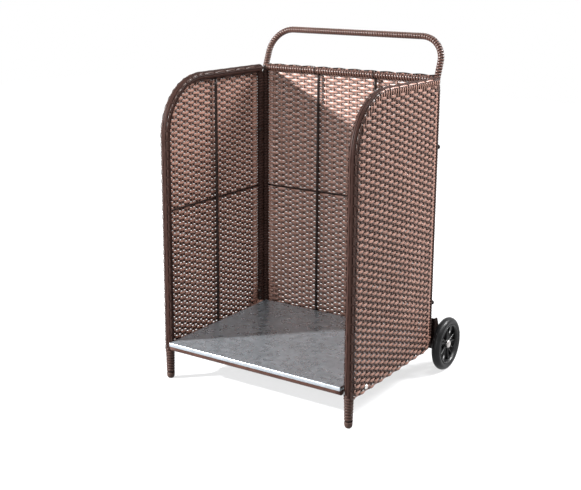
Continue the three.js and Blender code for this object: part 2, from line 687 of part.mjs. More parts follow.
function addAxleBrackets(name, side) {
  const inner = bracketOuterX - BRACKET_WIDTH;
  const flange = new THREE.Shape();
  flange.moveTo(bracketY, BRACKET_BOTTOM);
  flange.lineTo(bracketY + BRACKET_PLATE, BRACKET_BOTTOM);
  flange.lineTo(bracketY + BRACKET_PLATE, BRACKET_TOP);
  flange.lineTo(bracketY, BRACKET_TOP);

  const web = new THREE.Shape();
  web.moveTo(bracketY, BRACKET_BOTTOM);
  web.lineTo(axleY, WHEEL_RADIUS - BRACKET_EYE_RADIUS);
  web.absarc(axleY, WHEEL_RADIUS, BRACKET_EYE_RADIUS, -Math.PI / 2, Math.PI / 6, false);
  web.lineTo(bracketY + BRACKET_TOP_REACH, BRACKET_TOP - BRACKET_TOP_ROUND);
  web.absarc(bracketY + BRACKET_TOP_REACH - BRACKET_TOP_ROUND, BRACKET_TOP - BRACKET_TOP_ROUND,
    BRACKET_TOP_ROUND, 0, Math.PI / 2, false);
  web.lineTo(bracketY, BRACKET_TOP);

  const span = (x0, x1) => [side * x0, side * x1].sort((a, b) => a - b);
  const [holeStart, holeEnd] = [inner - HOLE_OVERRUN, bracketOuterX + HOLE_OVERRUN]
    .map((x) => [side * x, axleY, WHEEL_RADIUS]);
  const axleHole = drill(holeStart, holeEnd, axleRadius + SEAT_GAP);
  const holes = bracketBolts.filter(onSide(side)).map(boltHole);
  add(`axle_bracket_${name}`,
    cut(joined(
      plateAcrossX(flange, ...span(inner, bracketOuterX)),
      plateAcrossX(web, ...span(bracketOuterX - BRACKET_PLATE, bracketOuterX))),
    axleHole, ...holes),
    materials.paintedSteel);
}

// A bush on a rod along X, between two distances from the cart's middle plane.
function bush(side, rodRadius, radius, from, to) {
  const bore = (rodRadius + SEAT_GAP) / Math.cos(Math.PI / TUBE_FACETS);
  return turnedAboutX([
    [bore, side * from],
    [radius, side * from],
    [radius, side * to],
    [bore, side * to],
    [bore, side * from],
  ], TUBE_FACETS);
}

function spokeShape(side) {
  const inner = HUB_RADIUS - SPOKE_ROOT;
  const outer = RIM_RADIUS - RIM_LIP - RIM_CROWN / 2 + SPOKE_ROOT;
  const middle = (inner + outer) / 2;
  const half = SPOKE_WIDTH / 2;
  const tip = side * outer * Math.tan(SPOKE_SPREAD / 2);
  const bow = side * middle * Math.tan(SPOKE_SPREAD / 2) * SPOKE_BOW;
  const shape = new THREE.Shape();
  shape.moveTo(inner, side * half - half);
  shape.quadraticCurveTo(middle, bow - half, outer, tip - half);
  shape.lineTo(outer, tip + half);
  shape.quadraticCurveTo(middle, bow + half, inner, side * half + half);
  return shape;
}

function addWheel(name, side) {
  const shoulder = TYRE_WIDTH / 2;
  const crownEdge = Math.asin(shoulder / TYRE_CROWN_RADIUS);
  const crown = Array.from({ length: TYRE_CROWN_STEPS + 1 }, (_, i) => {
    const angle = crownEdge * ((2 * i) / TYRE_CROWN_STEPS - 1);
    return [WHEEL_RADIUS - TYRE_CROWN_RADIUS * (1 - Math.cos(angle)), TYRE_CROWN_RADIUS * Math.sin(angle)];
  });
  const seat = (RIM_RADIUS + SEAT_GAP) / Math.cos(Math.PI / WHEEL_FACETS);
  const seatHalf = RIM_WIDTH / 2;
  const place = (geometry) => geometry.translate(side * wheelX, axleY, WHEEL_RADIUS);
  const tyreProfile = [[seat, -seatHalf], ...crown, [seat, seatHalf], [seat, -seatHalf]];
  add(`tyre_${name}`, place(turnedAboutX(tyreProfile, WHEEL_FACETS)), materials.rubber);

  const rimInner = RIM_RADIUS - RIM_LIP;
  const rimProfile = [
    [RIM_RADIUS, -seatHalf],
    [RIM_RADIUS, seatHalf],
    [rimInner + RIM_CROWN / 2, seatHalf],
    [rimInner - RIM_CROWN / 2, 0],
    [rimInner + RIM_CROWN / 2, -seatHalf],
    [RIM_RADIUS, -seatHalf],
  ];
  const hubProfile = [
    [0, -side * HUB_INNER_REACH],
    [HUB_RADIUS - HUB_SHOULDER, -side * HUB_INNER_REACH],
    [HUB_RADIUS, -side * HUB_INNER_REACH / 2],
    [HUB_RADIUS, side * HUB_OUTER_REACH],
    [0, side * HUB_OUTER_REACH],
  ];
  const reach = [-side * SPOKE_INNER_REACH, side * SPOKE_OUTER_REACH].sort((a, b) => a - b);
  const spokes = Array.from({ length: SPOKE_PAIRS }, (_, pair) => [-1, 1].map((hand) =>
    plateAcrossX(spokeShape(hand), ...reach)
      .rotateX(FIRST_SPOKE_TURN + (2 * Math.PI * pair) / SPOKE_PAIRS))).flat();
  const boreEnd = HUB_INNER_REACH + HOLE_OVERRUN;
  const bore = drill([-boreEnd, 0, 0], [boreEnd, 0, 0], axleRadius + AXLE_RUNNING_GAP);
  const rim = cut(joined(turnedAboutX(rimProfile, WHEEL_FACETS), turnedAboutX(hubProfile, TUBE_FACETS),
    ...spokes), bore);
  add(`rim_${name}`, place(rim), materials.plastic);

  add(`axle_spacer_${name}`,
    bush(side, axleRadius, SPACER_RADIUS, bracketOuterX + SEAT_GAP, hubInnerX - SEAT_GAP)
      .translate(0, axleY, WHEEL_RADIUS),
    materials.plastic);

  const capStart = hubOuterX + SEAT_GAP;
  const axleEnd = capStart + CAP_LENGTH / 2;
  const boreRadius = (axleRadius + SEAT_GAP) / Math.cos(Math.PI / TUBE_FACETS);
  add(`hub_cap_${name}`, turnedAboutX([
    [boreRadius, side * capStart],
    [CAP_RADIUS, side * capStart],
    [CAP_RADIUS, side * (capStart + CAP_RIM_LENGTH)],
    [CAP_SHOULDER_RADIUS, side * (capStart + CAP_SHOULDER_LENGTH)],
    [CAP_TIP_RADIUS, side * (capStart + CAP_LENGTH)],
    [0, side * (capStart + CAP_LENGTH)],
    [0, side * (axleEnd + SEAT_GAP)],
    [boreRadius, side * (axleEnd + SEAT_GAP)],
    [boreRadius, side * capStart],
  ], TUBE_FACETS).translate(0, axleY, WHEEL_RADIUS), materials.chrome);
}

function addAxle() {
  const end = hubOuterX + SEAT_GAP + CAP_LENGTH / 2;
  add('axle', straight([-end, axleY, WHEEL_RADIUS], [end, axleY, WHEEL_RADIUS], axleRadius, TUBE_FACETS),
    materials.zinc);
}

for (const [name, side] of SIDES) {
  addSideFrame(name, side);
  addBindings(name, side);
  addFootCap(name, side);
  addSideWeave(name, side);
  addAxleBrackets(name, side);
  addWheel(name, side);
}
addBackFrame();
addGripWraps();
addBackWeave();
addFloor();
addAxle();
for (const bolt of bolts) add(bolt.name, boltWithNut(bolt), materials.zinc);

// The origin lies on the floor, in the middle of the cart's width and depth.
const frontEdge = ringFrontY - trayMargin;
const rearEdge = axleY + WHEEL_RADIUS;
group.position.y = -(frontEdge + rearEdge) / 2;
group.updateMatrixWorld(true);

export default group;
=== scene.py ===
import math

import bpy
import numpy as np
from mathutils import Matrix, Vector


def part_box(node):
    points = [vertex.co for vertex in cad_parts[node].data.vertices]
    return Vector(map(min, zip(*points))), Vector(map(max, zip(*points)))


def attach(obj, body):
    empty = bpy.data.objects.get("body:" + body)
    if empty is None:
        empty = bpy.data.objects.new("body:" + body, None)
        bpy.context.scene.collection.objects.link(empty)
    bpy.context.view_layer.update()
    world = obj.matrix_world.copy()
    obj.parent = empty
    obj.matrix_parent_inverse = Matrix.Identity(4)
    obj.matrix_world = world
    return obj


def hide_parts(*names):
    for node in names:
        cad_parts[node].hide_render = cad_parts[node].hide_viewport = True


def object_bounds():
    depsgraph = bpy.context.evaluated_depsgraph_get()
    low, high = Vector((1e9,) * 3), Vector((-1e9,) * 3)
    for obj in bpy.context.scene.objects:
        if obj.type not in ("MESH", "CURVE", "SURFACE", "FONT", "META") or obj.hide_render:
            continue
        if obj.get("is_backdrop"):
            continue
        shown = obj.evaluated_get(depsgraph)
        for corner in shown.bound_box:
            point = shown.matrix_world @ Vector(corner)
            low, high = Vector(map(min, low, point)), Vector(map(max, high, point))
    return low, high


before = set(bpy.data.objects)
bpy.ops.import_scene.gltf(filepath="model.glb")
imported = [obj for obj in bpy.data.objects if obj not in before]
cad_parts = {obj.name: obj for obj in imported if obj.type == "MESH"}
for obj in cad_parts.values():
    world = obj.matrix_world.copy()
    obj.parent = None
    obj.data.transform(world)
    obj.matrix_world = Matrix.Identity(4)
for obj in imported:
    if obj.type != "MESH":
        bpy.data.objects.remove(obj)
cad_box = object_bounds()

SIDES = (("left", -1), ("right", 1))
RIGHT, BACK, UP = np.eye(3)

# ---- Real sizes that the frame's boxes don't give ----

TUBE = 0.008  # radius of the side frames' tube
BACK_TUBE = 0.0075  # and of the others
RING_TUBE = 0.012
ROD = 0.004
CROSS_ROD = 0.0025
AXLE = 0.006
OPEN_CORNER = 0.146  # bend radius of the open front corner
HOOP_BEND = 0.026  # and of the side frames' other corners
HANDLE_LEAN = math.radians(21.8)
HANDLE_LENGTH = 0.117  # from its knees to the corners of its grip
HANDLE_BEND = 0.069
KNEE_BEND = 0.030

ROW_PITCH = 0.00815  # woven rows
SIDE_STAKES = 18  # spaces between the stakes of a side wall
BACK_STAKES = 22
STRAND = 0.0012  # thickness of the flat strands
ROW_THICKNESS = 0.0021  # of the fuller strands that the rows are woven from
SWING = 0.0021  # how far a woven strand swings from the wall's middle
FULL_WIDTH = 0.0086  # width of a woven strand
NECK = 0.0011  # how much narrower it is beside a stake
TUCKED = 0.98  # width of a row at its tucked ends, in row pitches
STAKE = (0.0078, 0.0013)  # width and thickness of an upright strand
WALL_POINTS = 12  # along the straight part of an upright strand
UNDER_RAIL = np.radians(np.arange(200, 9, -20))  # its curl round the bottom rail
HANDLE_PITCH = 0.0078  # windings, from turn to turn
RAIL_PITCH = 0.0083
LOW_RAIL_PITCH = 0.008
LEG_PITCH = 0.0076
POST_PITCH = ROW_PITCH  # a row is tucked in at every turn
LASH_PITCH = 3 * ROW_PITCH  # cross strands over the front bindings
BINDING_STRIPS = 8
EDGE_ANGLE = 57  # degrees from a binding's outer bend to its edge strands
TIES = (-0.147, -0.103, 0.088)  # x of the cord ties round the top rail
HEAD_HEIGHT = 0.0036  # of the bolts
NUT_HEIGHT = 0.005
STRAND_SHIFT = 0.37  # in u from strand to strand, so that their streaks differ

# ---- Places, from the frame ----


def middle(node):
    low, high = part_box(node)
    return (low + high) / 2


leg = middle("foot_cap_right")
hoop_low, hoop_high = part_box("side_hoop_right")
flat = leg.y - hoop_low.y
hoop_x = leg.x
leg_y = leg.y
rear_y = hoop_high.y - flat
top_z = hoop_high.z - flat
side_depth = rear_y - leg_y
bottom_z = middle("back_bottom_rail").z
back_y = middle("back_top_rail").y
rail_z = middle("back_top_rail").z
back_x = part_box("back_hoop")[1].x - BACK_TUBE
grip_y = back_y + HANDLE_LENGTH * math.sin(HANDLE_LEAN)
grip_z = rail_z + HANDLE_LENGTH * math.cos(HANDLE_LEAN)
axle = middle("axle")
wheel_x = middle("tyre_right").x
wheel_radius = axle.z
tray_low, tray_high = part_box("floor_tray")

# ---- Node materials ----


def new_material(name, roughness, metallic=0.0):
    material = bpy.data.materials.new(name)
    material.use_nodes = True
    shader = material.node_tree.nodes["Principled BSDF"]
    shader.inputs["Roughness"].default_value = roughness
    shader.inputs["Metallic"].default_value = metallic
    return material, material.node_tree, shader


def node(tree, kind, **settings):
    made = tree.nodes.new(kind)
    for key, value in settings.items():
        if key in made.inputs:
            made.inputs[key].default_value = value
        else:
            setattr(made, key, value)
    return made


def calc(tree, operation, *values):
    """A Math node's result. Each value is a number or another node's output."""
    made = node(tree, "ShaderNodeMath", operation=operation)
    for socket, value in zip(made.inputs, values):
        if isinstance(value, bpy.types.NodeSocket):
            tree.links.new(value, socket)
        else:
            socket.default_value = value
    return made.outputs[0]


def map_range(tree, value, start, end, low, high, curve="LINEAR"):
    """Goes from low to high while the value goes from start to end, and stays there past them."""
    made = node(tree, "ShaderNodeMapRange", interpolation_type=curve)
    settings = {"From Min": start, "From Max": end, "To Min": low, "To Max": high}
    for key, number in settings.items():
        made.inputs[key].default_value = number
    tree.links.new(value, made.inputs["Value"])
    return made.outputs["Result"]


def ramp(tree, factor, stops):
    made = tree.nodes.new("ShaderNodeValToRGB")
    elements = made.color_ramp.elements
    while len(elements) < len(stops):
        elements.new(0.5)
    for element, (place, colour) in zip(elements, stops):
        element.position = place
        element.color = (*colour, 1)
    tree.links.new(factor, made.inputs["Fac"])
    return made.outputs["Color"]


def stretched_noise(tree, coordinates, scale, stretch, detail=4.0):
    mapping = node(tree, "ShaderNodeMapping")
    mapping.inputs["Scale"].default_value = stretch
    tree.links.new(coordinates, mapping.inputs["Vector"])
    noise = node(tree, "ShaderNodeTexNoise", Scale=scale, Detail=detail)
    tree.links.new(mapping.outputs["Vector"], noise.inputs["Vector"])
    return noise.outputs["Fac"]


def add_bump(tree, shader, height, strength, distance):
    bump = node(tree, "ShaderNodeBump", Strength=strength, Distance=distance)
    tree.links.new(height, bump.inputs["Height"])
    tree.links.new(bump.outputs["Normal"], shader.inputs["Normal"])


def scaled_colour(tree, colour, value, start, end, shade):
    """The colour times a shade up to the value start, and times 1 from the value end on."""
    scaled = node(tree, "ShaderNodeVectorMath", operation="SCALE")
    tree.links.new(colour, scaled.inputs[0])
    tree.links.new(map_range(tree, value, start, end, shade, 1.0), scaled.inputs["Scale"])
    return scaled.outputs["Vector"]


def painted_recess_shade(tree, colour, axis, place, shade):
    """Paints shade into the colour: times a shade at a wall's middle plane, in the recesses where
    the rows dive, and times 1 out on the crests.

    Towards the bay the painted shade ends sooner, as the inner faces look smoother.
    """
    middle_depth, crest_depth, sooner = 0.0003, 0.0024, 2.2
    split = node(tree, "ShaderNodeSeparateXYZ")
    tree.links.new(node(tree, "ShaderNodeTexCoord").outputs["Object"], split.inputs[0])
    outwards = calc(tree, "SUBTRACT", calc(tree, "ABSOLUTE", split.outputs[axis]), place)
    inwards = calc(tree, "MULTIPLY", outwards, -sooner)
    depth = calc(tree, "MAXIMUM", outwards, inwards)
    return scaled_colour(tree, colour, depth, middle_depth, crest_depth, shade)


def painted_edge_shade(tree, colour, uv, shade, start):
    """Paints shade on a strand's edges, in the grooves between rows and turns, which are at v = 0
    and 0.5 of the turn round it.

    A larger start makes the dark part wider.
    """
    clear = 0.84  # from here to 1, at the middle of a face, the colour gets no painted shade
    split = node(tree, "ShaderNodeSeparateXYZ")
    tree.links.new(uv, split.inputs[0])
    wave = calc(tree, "SINE", calc(tree, "MULTIPLY", split.outputs["Y"], 2 * math.pi))
    return scaled_colour(tree, colour, calc(tree, "ABSOLUTE", wave), start, clear, shade)


def strand_material(name, dark, mid, light, roughness, specular, edge=(0.5, 0.15), plane=None):
    """Strand: fine streaks along its length, a small change from strand to strand, faint grain.

    An edge is (shade, start), for painted shade along the strand's edges. A plane (axis, place,
    shade) is a wall's middle, where the strands dive and the colour gets painted shade of the
    recesses.
    """
    material, tree, shader = new_material(name, roughness)
    uv = node(tree, "ShaderNodeTexCoord").outputs["UV"]
    streaks = stretched_noise(tree, uv, 5.0, (9.0, 5.0, 1.0))
    each = stretched_noise(tree, uv, 1.0, (1.3, 0.0, 0.0), 1.0)
    blend = calc(tree, "MULTIPLY_ADD", streaks, 0.6, calc(tree, "MULTIPLY", each, 0.4))
    colour = ramp(tree, blend, ((0.36, dark), (0.5, mid), (0.64, light)))
    colour = painted_edge_shade(tree, colour, uv, *edge)
    if plane:
        colour = painted_recess_shade(tree, colour, *plane)
    tree.links.new(colour, shader.inputs["Base Color"])
    grain = stretched_noise(tree, uv, 60.0, (1.0, 0.6, 1.0), 2.0)
    add_bump(tree, shader, grain, 0.12, 0.0002)
    shader.inputs["Specular IOR Level"].default_value = specular
    return material


def painted(name, colour, roughness, metallic=0.0, grain=900.0, specular=0.12):
    """Painted or moulded surface with faint unevenness and rubbed patches."""
    material, tree, shader = new_material(name, roughness, metallic)
    spot = node(tree, "ShaderNodeTexCoord").outputs["Object"]
    shader.inputs["Specular IOR Level"].default_value = specular
    patches = stretched_noise(tree, spot, 35.0, (1.0, 1.0, 1.0), 5.0)
    darker = tuple(c * 0.75 for c in colour)
    lighter = tuple(min(1.0, c * 1.3) for c in colour)
    shades = ramp(tree, patches, ((0.3, darker), (0.7, lighter)))
    tree.links.new(shades, shader.inputs["Base Color"])
    rubbed = map_range(tree, patches, 0.0, 1.0, roughness - 0.08, roughness + 0.12)
    tree.links.new(rubbed, shader.inputs["Roughness"])
    fine = stretched_noise(tree, spot, grain, (1.0, 1.0, 1.0), 2.0)
    add_bump(tree, shader, fine, 0.12, 0.0003)
    return material


def galvanised_material():
    """Zinc-coated sheet: crystal spangles of differing shade and gloss."""
    material, tree, shader = new_material("galvanised_sheet", 0.3, 0.85)
    spot = node(tree, "ShaderNodeTexCoord").outputs["Object"]
    warp = node(tree, "ShaderNodeTexNoise", Scale=30.0, Detail=2.0)
    tree.links.new(spot, warp.inputs["Vector"])
    mixed = node(tree, "ShaderNodeMixRGB", Fac=0.035)
    tree.links.new(spot, mixed.inputs["Color1"])
    tree.links.new(warp.outputs["Color"], mixed.inputs["Color2"])
    cells = node(tree, "ShaderNodeTexVoronoi", Scale=85.0)
    tree.links.new(mixed.outputs["Color"], cells.inputs["Vector"])
    shade = node(tree, "ShaderNodeSeparateColor")
    tree.links.new(cells.outputs["Color"], shade.inputs["Color"])
    stops = tuple(zip((0.0, 0.5, 1.0), ZINC_SHADES))
    tree.links.new(ramp(tree, shade.outputs[0], stops), shader.inputs["Base Color"])
    roughness = map_range(tree, shade.outputs[1], 0.0, 1.0, 0.24, 0.38)
    tree.links.new(roughness, shader.inputs["Roughness"])
    return material


STRAND_SHADES = ((0.148, 0.076, 0.058), (0.197, 0.107, 0.083), (0.262, 0.151, 0.120))
WRAP_SHADES = ((0.034, 0.015, 0.011), (0.050, 0.024, 0.018), (0.066, 0.034, 0.027))
EDGING_SHADES = ((0.022, 0.010, 0.008), (0.034, 0.017, 0.013), (0.050, 0.027, 0.021))
BINDING_SHADES = ((0.014, 0.007, 0.005), (0.021, 0.010, 0.008), (0.031, 0.016, 0.013))
ZINC_SHADES = ((0.35, 0.385, 0.415), (0.385, 0.42, 0.455), (0.42, 0.455, 0.495))
# The planes and edge shades below paint shade into the strands' colour: in the recesses where rows
# dive, and in the grooves between rows and turns.
side_painted_shade = (0, abs(middle("side_weave_right").x), 0.08)
back_painted_shade = (1, abs(middle("back_weave").y), 0.22)
strand = strand_material("strand", *STRAND_SHADES, 0.42, 0.16)
side_strand = strand_material(
    "side_strand", *STRAND_SHADES, 0.40, 0.12, edge=(0.2, 0.15), plane=side_painted_shade
)
back_strand = strand_material(
    "back_strand", *STRAND_SHADES, 0.38, 0.38, edge=(0.4, 0.15), plane=back_painted_shade
)
# The wrap's near-black edges paint deep shade into the grooves between the windings' turns.
wrap = strand_material("wrap", *WRAP_SHADES, 0.24, 0.2, edge=(0.02, 0.5))
edging = strand_material("edging", *EDGING_SHADES, 0.32, 0.12)
binding = strand_material("binding", *BINDING_SHADES, 0.42, 0.05)
paint = painted("brown_paint", (0.010, 0.0055, 0.0045), 0.4)
ring_paint = painted("ring_paint", (0.040, 0.018, 0.013), 0.36)
galvanised = galvanised_material()
zinc = painted("zinc_plate", (0.55, 0.55, 0.53), 0.3, metallic=1.0, specular=0.5)
chrome = painted("chrome", (0.42, 0.40, 0.39), 0.22, metallic=1.0, specular=0.5)
rubber = painted("rubber", (0.007, 0.007, 0.0075), 0.36, grain=2500.0)
plastic = painted("black_plastic", (0.006, 0.006, 0.0065), 0.34, grain=1600.0, specular=0.25)
foot_plastic = painted("brown_plastic", (0.032, 0.018, 0.014), 0.45, grain=1600.0)

# ---- Mesh helpers ----


def unit(v):
    v = np.asarray(v, float)
    return v / np.linalg.norm(v, axis=-1, keepdims=True)


def circle(count):
    """Angles evenly spaced round a full turn."""
    return np.linspace(0, 2 * math.pi, count, endpoint=False)


def lengths_along(points):
    """How far along a line each of its points is."""
    steps = np.linalg.norm(np.diff(points, axis=0), axis=1)
    return np.concatenate(((0.0,), np.cumsum(steps)))


def read_off(places, along, values):
    """The vectors at other places along a line."""
    return np.stack([np.interp(places, along, values[:, k]) for k in range(3)], axis=-1)


def resampled(points, spacing):
    """The same line with evenly spaced points."""
    along = lengths_along(points)
    count = max(2, int(round(along[-1] / spacing)) + 1)
    return read_off(np.linspace(0.0, along[-1], count), along, points)


def straight(start, end, spacing):
    return resampled(np.array((start, end)), spacing)


def bent_route(corners, spacing):
    """Straight runs joined by round bends. A corner is (x, y, z) or (x, y, z, bend radius)."""
    at = [np.array(corner[:3], float) for corner in corners]
    points = []
    for i, corner in enumerate(corners):
        if len(corner) < 4 or not 0 < i < len(corners) - 1:
            points.append(at[i])
            continue
        radius = corner[3]
        back = unit(at[i - 1] - at[i])
        ahead = unit(at[i + 1] - at[i])
        turn = math.pi - math.acos(float(back @ ahead))
        centre = at[i] + unit(back + ahead) * radius / math.cos(turn / 2)
        arm = at[i] + back * radius * math.tan(turn / 2) - centre
        side = np.cross(unit(np.cross(ahead, back)), arm)
        steps = max(2, int(math.degrees(turn) / 3))
        for angle in np.linspace(0, turn, steps + 1):
            points.append(centre + arm * math.cos(angle) + side * math.sin(angle))
    return resampled(np.array(points), spacing)


def frames(points):
    """Unit tangents and two normals that don't twist, at each point of a line."""
    tangents = unit(np.gradient(points, axis=0))
    start = RIGHT if abs(tangents[0] @ RIGHT) < 0.9 else UP
    normals = [unit(start - tangents[0] * (start @ tangents[0]))]
    for tangent in tangents[1:]:
        normals.append(unit(normals[-1] - tangent * (normals[-1] @ tangent)))
    normals = np.array(normals)
    return tangents, normals, np.cross(tangents, normals)


def ellipse_section(count):
    angles = circle(count)
    return np.stack((np.cos(angles), np.sin(angles)), axis=1) / 2


FLAT = np.array(((-0.5, 0), (-0.3, 0.5), (0.3, 0.5), (0.5, 0), (0.3, -0.5), (-0.3, -0.5)))
OVAL = ellipse_section(8)
ROUND = ellipse_section(20)


def rings_of(centres, across, out, width, thickness, section=FLAT):
    """Cross-sections along a strand: across its width and out through its thickness."""
    across, out = (np.broadcast_to(v, centres.shape) for v in (across, out))
    width, thickness = (
        np.broadcast_to(size, len(centres))[:, None, None] for size in (width, thickness)
    )
    return (
        centres[:, None, :]
        + section[None, :, :1] * width * across[:, None, :]
        + section[None, :, 1:] * thickness * out[:, None, :]
    )


def skin(rings, closed, first, offset):
    """Quads, end caps and UVs over the rings of one strand, its first vertex being number first."""
    rows, facets = rings.shape[:2]
    spans = rows if closed else rows - 1
    i = np.arange(spans)[:, None]
    k = np.arange(facets)[None, :]
    after = (k + 1) % facets
    below = ((i + 1) % rows) * facets
    corners = (i * facets + k, i * facets + after, below + after, below + k)
    quads = np.stack(np.broadcast_arrays(*corners), axis=-1)
    middle_line = rings.mean(axis=1)
    along = lengths_along(np.vstack((middle_line, middle_line[:1])))[:, None] + offset
    u0, u1 = along[:-1][:spans], along[1:][:spans]
    v0, v1 = k / facets, (k + 1) / facets
    corners = ((u0, v0), (u0, v1), (u1, v1), (u1, v0))
    uvs = np.stack([np.stack(np.broadcast_arrays(u, v), axis=-1) for u, v in corners], axis=2)
    quads, uvs = quads.reshape(-1, 4), uvs.reshape(-1, 4, 2)
    if not closed:
        last = facets - 1
        fan = np.array([(0, min(j + 2, last), j + 1, j) for j in range(1, last, 2)])
        end = fan[:, ::-1] + (rows - 1) * facets
        caps = np.vstack((fan, end))
        quads = np.vstack((quads, caps))
        uvs = np.vstack((uvs, np.zeros((len(caps), 4, 2)) + offset))
    return quads + first, uvs


def mesh_piece(name, strands, material, body="frame", replaced=(), closed=False):
    """One object made of strands, each a stack of rings."""
    vertices, faces, uvs, smooth = [], [], [], []
    first = 0
    for number, rings in enumerate(strands):
        quads, uv = skin(rings, closed, first, STRAND_SHIFT * number)
        vertices.append(rings.reshape(-1, 3))
        faces.append(quads)
        uvs.append(uv)
        spans = rings.shape[0] if closed else rings.shape[0] - 1
        smooth.append(np.arange(len(quads)) < spans * rings.shape[1])
        first += rings.shape[0] * rings.shape[1]
    vertices, faces, uvs = np.vstack(vertices), np.vstack(faces), np.vstack(uvs)
    a, b, c, d = (vertices[faces[:, k]] for k in range(4))
    volume = (a * (np.cross(b, c) + np.cross(c, d))).sum()
    if volume < 0:
        faces, uvs = faces[:, ::-1], uvs[:, ::-1]
    mesh = bpy.data.meshes.new(name)
    clean = [tuple(dict.fromkeys(face)) for face in faces.tolist()]
    mesh.from_pydata(vertices.tolist(), [], clean)
    layer = mesh.uv_layers.new(name="UVMap")
    kept = [uv for face, corner in zip(faces.tolist(), uvs) for uv in unique_corners(face, corner)]
    layer.data.foreach_set("uv", np.array(kept).ravel())
    mesh.polygons.foreach_set("use_smooth", np.concatenate(smooth))
    mesh.materials.append(material)
    mesh.validate()
    piece = bpy.data.objects.new(name, mesh)
    bpy.context.scene.collection.objects.link(piece)
    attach(piece, body)
    if replaced:
        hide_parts(*replaced)
    return piece


def unique_corners(face, corners):
    """The UVs of a face's corners, once for each vertex."""
    seen = set()
    for index, corner in zip(face, corners):
        if index not in seen:
            seen.add(index)
            yield corner


def wound_strand(route, radius, pitch, width, thickness, steps=14, section=FLAT):
    """A strand wound round a line, with its middle at a radius that may be a function of length."""
    along = lengths_along(route)
    count = int(along[-1] / pitch * steps) + 1
    places = np.linspace(0, along[-1], count)
    middle_line, *axes = (read_off(places, along, v) for v in (route, *frames(route)))
    tangents, normals, sides = (unit(v) for v in axes)
    angle = (2 * math.pi * places / pitch)[:, None]
    out = normals * np.cos(angle) + sides * np.sin(angle)
    reach = np.broadcast_to(radius(places) if callable(radius) else radius, count)[:, None]
    return rings_of(middle_line + out * reach, tangents, out, width, thickness, section)


def tube_rings(route, radius, section=ROUND):
    _, normals, sides = frames(route)
    return rings_of(route, normals, sides, 2 * radius, 2 * radius, section)


def turned_rings(profile, centre, facets=64):
    """A profile of (radius, x) points turned round an axis along X, as closed rings."""
    angles = circle(facets)[:, None]
    radius, along = np.array(profile).T[:, None, :]
    y = centre[1] + radius * np.cos(angles)
    z = centre[2] + radius * np.sin(angles)
    x = np.broadcast_to(centre[0] + along, y.shape)
    return np.stack((x, y, z), axis=-1)


# ---- Woven walls ----


def float_width(place, spacing):
    """Strand width along a row: full over a stake and where rows cross, with a neck beside it."""
    to_stake = np.abs((place / spacing + 0.5) % 1 - 0.5) * spacing
    neck = np.clip(1 - np.abs(to_stake - spacing / 3) / (spacing / 6), 0, 1)
    return FULL_WIDTH - NECK * neck


def smooth_step(x):
    x = np.clip(x, 0, 1)
    return x * x * (3 - 2 * x)


def stations(start, end, spacing):
    """The two ends and every sixth of a stake space between them, none too near an end."""
    step, nearest = spacing / 6, 0.2
    first, last = math.ceil(start / step + nearest), math.floor(end / step - nearest)
    return np.concatenate(((start,), np.arange(first, last + 1) * step, (end,)))


def strand_rings_along(points, across, outwards, width, thickness=STRAND, section=FLAT):
    """Rings of a strand whose thickness stands square on its line, on the outward side."""
    tangents = unit(np.gradient(points, axis=0))
    out = unit(np.cross(tangents, across))
    out *= np.where((out * outwards).sum(axis=1, keepdims=True) < 0, -1, 1)
    return rings_of(points, across, out, width, thickness, section)


def curl(angles, reach, out, ahead):
    """Points on an arc that starts at out and turns towards ahead."""
    return reach * (np.cos(angles)[:, None] * out + np.sin(angles)[:, None] * ahead)


def row_heights(bottom, top):
    """The rows' middles, spaced evenly and as near to the pitch as the height allows."""
    count = int(round((top - bottom) / ROW_PITCH))
    return bottom + (np.arange(count) + 0.5) * (top - bottom) / count


def side_rows(name, side):
    """Woven rows of a side wall, each tucked into the winding of the rear upright."""
    low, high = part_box(f"side_weave_{name}")
    middle_x = abs(low.x + high.x) / 2
    spacing = side_depth / SIDE_STAKES
    inner = OPEN_CORNER - 0.004  # the rows start inside the open corner's binding
    short = 0.007  # and end before the rear upright's middle
    sunk = 0.0012  # a little deeper than its outer side
    lowest, lowest_end = bottom_z + 0.012, 0.022  # but for those at its lower bend
    strands = []
    for j, z in enumerate(row_heights(low.z, high.z)):
        rise = max(0.0, z - (top_z - OPEN_CORNER))
        start = OPEN_CORNER - math.sqrt(inner**2 - rise**2)
        drop = max(0.0, bottom_z + HOOP_BEND - z, z - top_z + HOOP_BEND)
        bend = math.sqrt(max(HOOP_BEND**2 - drop**2, 0.0))
        end = side_depth - HOOP_BEND + bend - short
        if z < lowest:
            end = side_depth - HOOP_BEND + lowest_end
        place = stations(start, end, spacing)
        depth = SWING * np.cos(math.pi * place / spacing + math.pi * j)
        near = smooth_step(1 - (end - place) / spacing)
        depth = depth * (1 - near) + near * (hoop_x + TUBE - sunk - middle_x)
        points = np.stack((middle_x + depth, leg_y + place, np.full(len(place), z)), axis=1)
        width = float_width(place, spacing) * (1 - near) + near * TUCKED * ROW_PITCH
        rings = strand_rings_along(points, UP, RIGHT, width, ROW_THICKNESS, OVAL)
        rings[..., 0] *= side
        strands.append(rings)
    return strands


